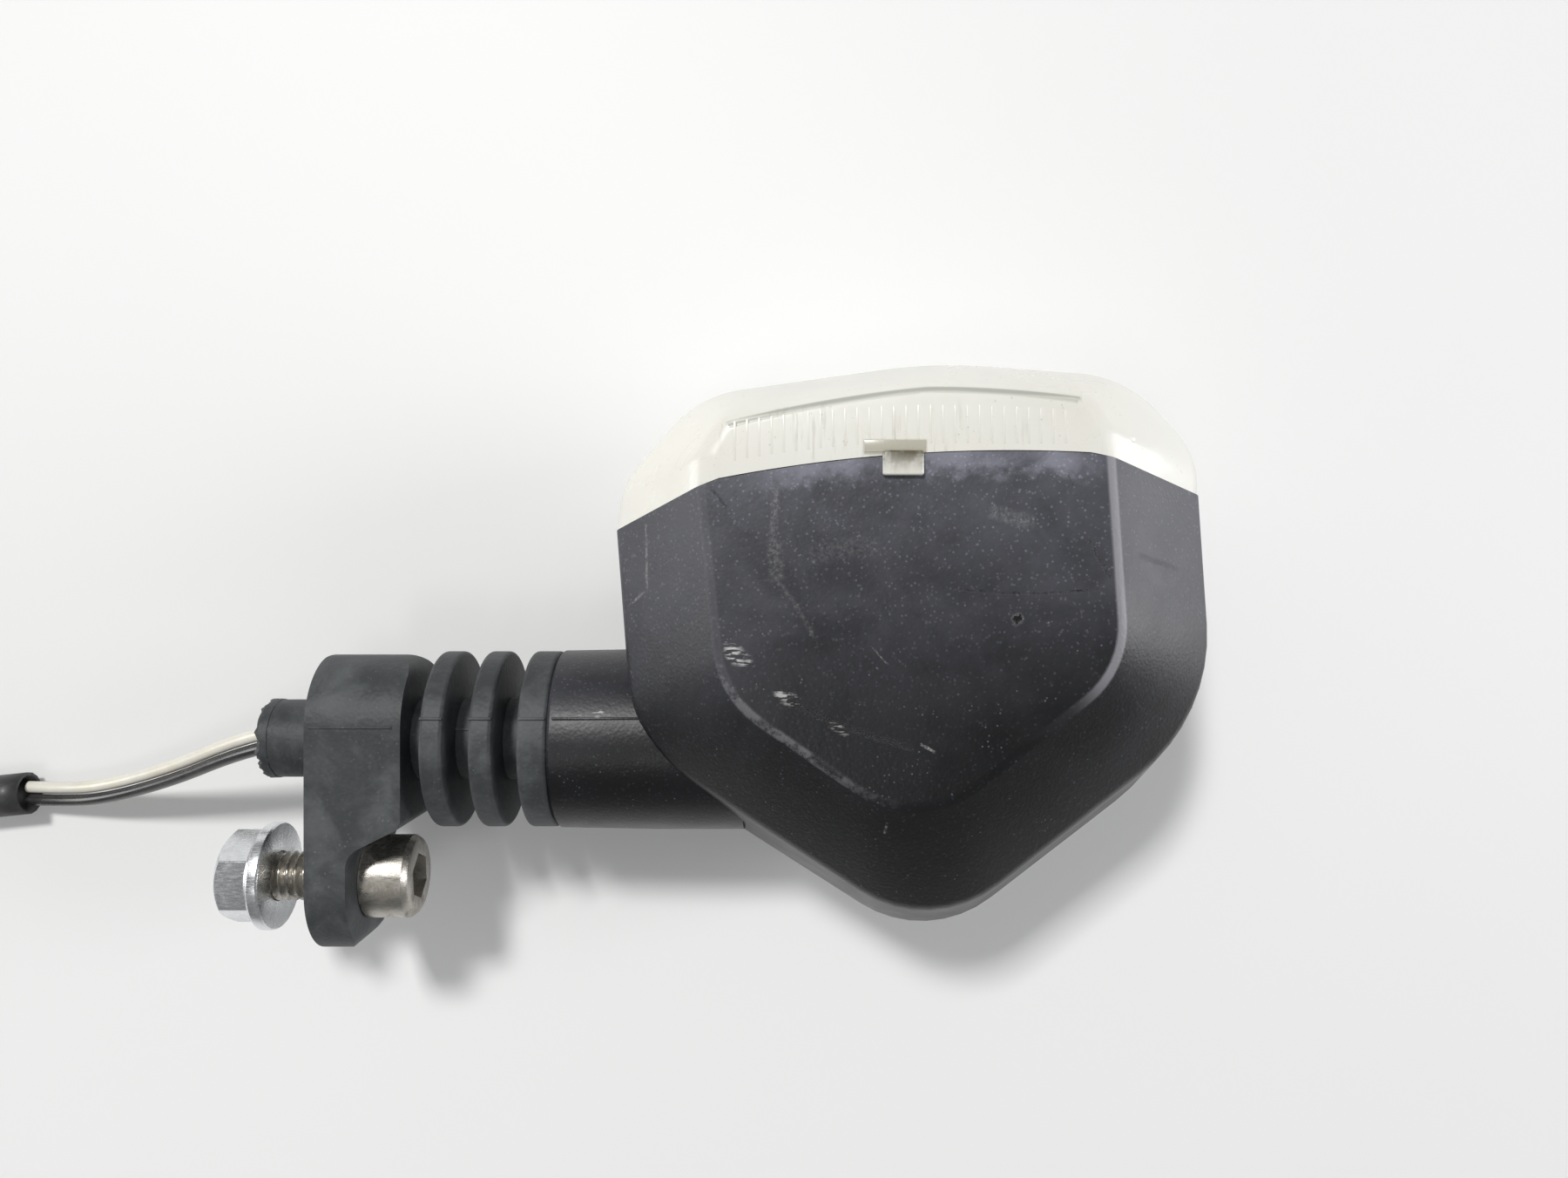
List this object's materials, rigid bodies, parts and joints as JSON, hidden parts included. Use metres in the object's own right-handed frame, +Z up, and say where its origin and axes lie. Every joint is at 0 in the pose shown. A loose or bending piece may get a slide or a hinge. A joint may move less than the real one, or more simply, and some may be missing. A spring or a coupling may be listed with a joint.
{
  "type": "turn signal indicator",
  "caption": "Side-mount vehicle turn signal: shield-shaped lamp pod with a fluted lens on a ribbed rubber stem, with a clamping bolt and a two-wire lead in a sleeve.",
  "frame": {"origin": "on the stem's axis, at the flange face that meets the machine's panel", "axes": "+X out along the stem towards the pod, +Y the way the lens faces, +Z up, square to both"},
  "size_m": [0.2376, 0.0777, 0.0408],
  "materials": {
    "stem_rubber": "matt, dusty, with a parting line",
    "housing_plastic": "matt, fine-grained, scuffed",
    "lens_plastic": "clear aged to milky cream, fluted",
    "seal_rubber": "matt",
    "zinc_steel": "bright zinc plate",
    "bolt_steel": "dirty plated steel",
    "socket_steel": "satin plate",
    "reflector_chrome": "vacuum-metallised",
    "white_insulation": "glossy vinyl, slightly yellowed",
    "black_insulation": "glossy vinyl",
    "sleeve_vinyl": "dull soft vinyl",
    "clear_vinyl": "milky soft vinyl",
    "tinned_brass": "bright",
    "contact_board": "laminated board",
    "bulb_brass": "bright",
    "solder": "dull solder",
    "bulb_glass": "clear",
    "stem_glass": "clear, thick",
    "filament_wire": "bare wire"
  },
  "bodies": {
    "mount": {"stem_flange": "stem_rubber", "lug_bush": "zinc_steel", "wire_white": "white_insulation", "wire_black": "black_insulation", "wire_sleeve": "sleeve_vinyl", "sleeve_coil": "sleeve_vinyl", "tail_white": "white_insulation", "tail_black": "black_insulation", "connector_covers": "clear_vinyl", "connector_bullets": "tinned_brass"},
    "bolt": {"fixing_bolt": "bolt_steel"},
    "nut": {"flange_nut": "zinc_steel"},
    "ribs": {"stem_gap_inner": "stem_rubber", "stem_ribs": "stem_rubber", "stem_gap_outer": "stem_rubber", "stem_lead_live": "white_insulation", "stem_lead_ground": "black_insulation"},
    "pod": {"stem_collar": "stem_rubber", "stem_insert": "zinc_steel", "insert_washer": "zinc_steel", "insert_nut": "zinc_steel", "housing": "housing_plastic", "lens_seal": "seal_rubber", "reflector": "reflector_chrome", "socket_shell": "socket_steel", "socket_rivet": "tinned_brass", "ground_tab": "tinned_brass", "contact_spring": "socket_steel", "lead_live": "white_insulation", "lead_ground": "black_insulation"},
    "lens": {"lens": "lens_plastic"},
    "contact": {"contact_disc": "contact_board", "contact_button": "tinned_brass"},
    "bulb": {"bulb_base": "bulb_brass", "bulb_tip": "solder", "bulb_glass": "bulb_glass", "bulb_stem": "stem_glass", "filament": "filament_wire"}
  },
  "joints": [
    {"name": "bolt_turn", "type": "hinge", "parent": "mount", "child": "bolt", "pos_m": [0, -0.017, 0], "axis": [-1, 0, 0], "range_deg": [-1450, 2175]},
    {"name": "nut_travel", "type": "slide", "parent": "mount", "child": "nut", "axis": [1, 0, 0], "range_m": [-0.004, 0.006]},
    {"name": "stem_sweep", "type": "hinge", "parent": "mount", "child": "ribs", "pos_m": [0.01255, 0, 0], "axis": [0, 0, 1], "range_deg": [-14, 14], "stiffness_Nm_per_rad": 4, "deforming": ["stem_gap_inner", "stem_lead_live", "stem_lead_ground"]},
    {"name": "stem_droop", "type": "hinge", "parent": "ribs", "child": "pod", "pos_m": [0.0237, 0, 0], "axis": [0, 1, 0], "range_deg": [-14, 14], "stiffness_Nm_per_rad": 4, "deforming": ["stem_gap_outer"]},
    {"name": "lens_off", "type": "slide", "parent": "pod", "child": "lens", "axis": [0, 1, 0], "range_m": [0, 0.03]},
    {"name": "bulb_push", "type": "slide", "parent": "pod", "child": "contact", "axis": [0, -1, 0], "range_m": [0, 0.0015], "stiffness_N_per_m": 2000, "springref_m": -0.002, "deforming": ["contact_spring"]},
    {"name": "bulb_twist", "type": "hinge", "parent": "contact", "child": "bulb", "pos_m": [0.072, 0, 0], "axis": [0, 1, 0], "range_deg": [0, 30]}
  ],
  "couplings": [
    {"joint": "bolt_turn", "follows": "nut_travel", "rad_per_m": 6283.2}
  ]
}
